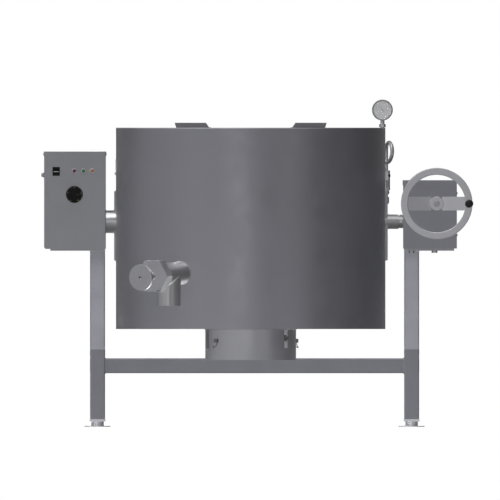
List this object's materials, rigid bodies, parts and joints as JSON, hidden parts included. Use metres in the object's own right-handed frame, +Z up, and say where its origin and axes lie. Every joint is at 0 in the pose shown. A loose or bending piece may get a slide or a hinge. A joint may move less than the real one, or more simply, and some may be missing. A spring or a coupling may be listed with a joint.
{
  "type": "gas tilting kettle",
  "caption": "Round gas-fired steam-jacketed kettle hung on trunnions in a four-legged stand, tilted by a worm-geared handwheel, with control box, draw-off tap and pressure gauge.",
  "frame": {"origin": "on the floor, at the centre of the rectangle of the four feet's outer floor bolts", "axes": "+X to the right seen from the front, from the control box to the gearbox, along the tilting axis; -Y to the front, where the kettle pours; +Z up"},
  "size_m": [1.4432, 1.1125, 1.0931],
  "materials": {
    "brushed_stainless": "brushed stainless steel, fine satin grain",
    "dark_stainless": "brushed stainless steel casing, slightly darker satin",
    "polished_stainless": "polished stainless steel pipe",
    "stand_steel": "satin stainless square tube",
    "black_plastic": "black moulded plastic",
    "lamp_red": "red translucent lamp cap",
    "lamp_green": "green translucent lamp cap",
    "lamp_orange": "orange translucent lamp cap",
    "brass": "machined brass",
    "cast_iron": "cast iron, as cast",
    "gear_steel": "machined gear steel",
    "gear_bronze": "gear bronze",
    "mineral_wool": "mineral wool mat",
    "dial_white": "white enamelled dial",
    "gauge_glass": "clear window",
    "aluminium_casting": "die cast aluminium",
    "ceramic": "glazed ceramic",
    "grey_plastic": "grey moulded plastic"
  },
  "bodies": {
    "frame": {"legs": "stand_steel", "side_rails": "stand_steel", "rear_crossbar": "stand_steel", "adjustable_feet": "brushed_stainless", "base_plates": "brushed_stainless", "base_bolts": "gear_steel", "control_box_shell": "brushed_stainless", "control_box_lid": "brushed_stainless", "left_trunnion_bearing": "cast_iron", "gas_valve": "aluminium_casting", "gas_inlet_pipe": "brass", "gas_swivel": "brass", "ignition_controller": "grey_plastic", "rocker_switch_body": "black_plastic", "lamp_red": "lamp_red", "lamp_green": "lamp_green", "lamp_orange": "lamp_orange", "thermostat_body": "grey_plastic", "cable_gland": "black_plastic", "gearbox_housing": "brushed_stainless", "gearbox_cover": "brushed_stainless", "gearbox_bearings": "cast_iron"},
    "handwheel": {"worm_shaft": "gear_steel", "handwheel": "aluminium_casting", "handwheel_screw": "gear_steel", "grip_pin": "gear_steel"},
    "crank_grip": {"crank_grip": "black_plastic"},
    "kettle": {"outer_casing": "dark_stainless", "casing_bottom": "dark_stainless", "rim_deck": "brushed_stainless", "inner_pot": "brushed_stainless", "pot_base": "brushed_stainless", "steam_jacket": "brushed_stainless", "insulation": "mineral_wool", "combustion_chamber": "brushed_stainless", "flue_duct": "dark_stainless", "burner_housing": "brushed_stainless", "ring_burner": "cast_iron", "gas_feed_pipe": "gear_steel", "burner_electrodes": "ceramic", "trunnion_pads": "dark_stainless", "left_trunnion": "polished_stainless", "right_trunnion": "polished_stainless", "worm_wheel": "gear_bronze", "pouring_guides": "dark_stainless", "draw_off_pipe": "polished_stainless", "tap_spout": "polished_stainless", "tap_bonnet": "brushed_stainless", "steam_port_elbow": "polished_stainless", "shutoff_valve_body": "polished_stainless", "siphon_pipe": "polished_stainless", "gauge_case": "polished_stainless", "gauge_dial": "dial_white", "gauge_glass": "gauge_glass"},
    "thermostat_knob": {"thermostat_knob": "black_plastic"},
    "power_rocker": {"power_rocker": "black_plastic"},
    "tap_handwheel": {"tap_handwheel": "brushed_stainless"},
    "tap_plug": {"tap_plug": "brass"},
    "valve_lever": {"valve_lever": "black_plastic"},
    "gauge_needle": {"gauge_needle": "black_plastic"}
  },
  "joints": [
    {"name": "kettle_tilt", "type": "hinge", "parent": "frame", "child": "kettle", "pos_m": [0, 0, 0.685], "axis": [1, 0, 0], "range_deg": [0, 90]},
    {"name": "handwheel_turn", "type": "hinge", "parent": "frame", "child": "handwheel", "pos_m": [0.6082, 0, 0.7455], "axis": [0, 1, 0], "range_deg": [0, 2700]},
    {"name": "grip_spin", "type": "hinge", "parent": "handwheel", "child": "crank_grip", "pos_m": [0.7167, -0.245, 0.7452], "axis": [0, 1, 0], "continuous": true},
    {"name": "thermostat_turn", "type": "hinge", "parent": "frame", "child": "thermostat_knob", "pos_m": [-0.6019, -0.165, 0.7762], "axis": [0, 1, 0], "range_deg": [-90, 180]},
    {"name": "rocker_tip", "type": "hinge", "parent": "frame", "child": "power_rocker", "pos_m": [-0.6627, -0.145, 0.853], "axis": [-1, 0, 0], "range_deg": [0, 14]},
    {"name": "tap_turn", "type": "hinge", "parent": "kettle", "child": "tap_handwheel", "pos_m": [-0.35268, -0.55398, 0.50153], "axis": [-0.5218, -0.8515, -0.0523], "range_deg": [0, 1440]},
    {"name": "tap_plug_slide", "type": "slide", "parent": "kettle", "child": "tap_plug", "axis": [-0.5218, -0.8515, -0.0523], "range_m": [0, 0.0401]},
    {"name": "lever_turn", "type": "hinge", "parent": "kettle", "child": "valve_lever", "pos_m": [0.4464, 0.14, 0.839], "axis": [1, 0, 0], "range_deg": [0, 90]},
    {"name": "needle_swing", "type": "hinge", "parent": "kettle", "child": "gauge_needle", "pos_m": [0.4268, 0.12762, 1.0581], "axis": [0, 1, 0], "range_deg": [-96, 174]}
  ],
  "couplings": [
    {"joint": "handwheel_turn", "follows": "kettle_tilt", "ratio": 30},
    {"joint": "tap_plug_slide", "follows": "tap_turn", "m_per_rad": 0.0015915}
  ]
}
